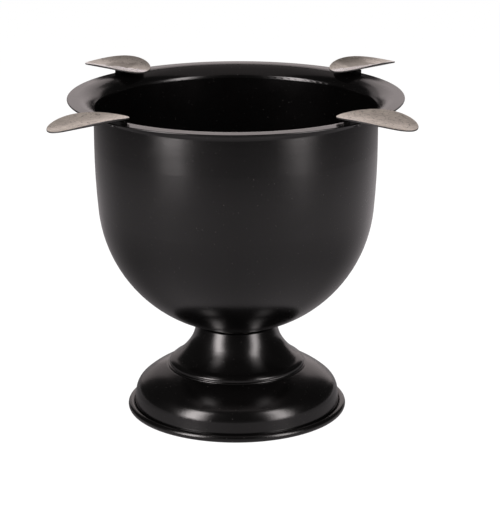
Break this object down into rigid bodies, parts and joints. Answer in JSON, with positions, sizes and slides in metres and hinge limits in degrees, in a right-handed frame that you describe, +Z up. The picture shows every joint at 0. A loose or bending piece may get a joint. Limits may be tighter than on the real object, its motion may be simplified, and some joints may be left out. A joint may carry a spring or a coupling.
{
  "type": "pedestal ashtray",
  "caption": "Deep round ashtray bowl with a flat turned-out lip and trough-shaped steel cigar rests, unscrewing from a low trumpet pedestal with a domed, rolled-edge foot.",
  "frame": {"origin": "on the pedestal's axis, on the surface it stands on", "axes": "+Z up along the bowl's and pedestal's axis; -Y is the front, so the rests stand at the four diagonals"},
  "size_m": [0.2165, 0.21, 0.2113],
  "materials": {
    "black_coat": "gloss black coating",
    "rest_steel": "brushed stainless",
    "machined_steel": "turned",
    "plated_steel": "zinc plated",
    "fibre": "matte vulcanised fibre",
    "pad_rubber": "matte"
  },
  "bodies": {
    "pedestal": {"stem": "black_coat", "neck_bush": "machined_steel", "foot": "black_coat", "base_plate": "plated_steel", "base_pad": "pad_rubber", "tie_rod": "plated_steel", "tie_washer": "plated_steel", "lock_washer": "plated_steel", "tie_nut": "plated_steel"},
    "seat": {"seat_washer": "fibre"},
    "bowl": {"bowl": "black_coat", "bowl_boss": "machined_steel", "bowl_stud": "plated_steel", "rest_rivets": "black_coat", "rest_spacers": "black_coat", "rest_washers": "black_coat", "rest_front_left": "rest_steel", "rest_front_right": "rest_steel", "rest_back_left": "rest_steel", "rest_back_right": "rest_steel"}
  },
  "joints": [
    {"name": "bowl_rise", "type": "slide", "parent": "pedestal", "child": "seat", "axis": [0, 0, 1], "range_m": [0, 0.01125]},
    {"name": "bowl_unscrew", "type": "hinge", "parent": "seat", "child": "bowl", "pos_m": [0, 0, 0.0495], "axis": [0, 0, 1], "range_deg": [0, 2700]}
  ],
  "couplings": [
    {"joint": "bowl_rise", "follows": "bowl_unscrew", "m_per_rad": 0.0002387}
  ]
}
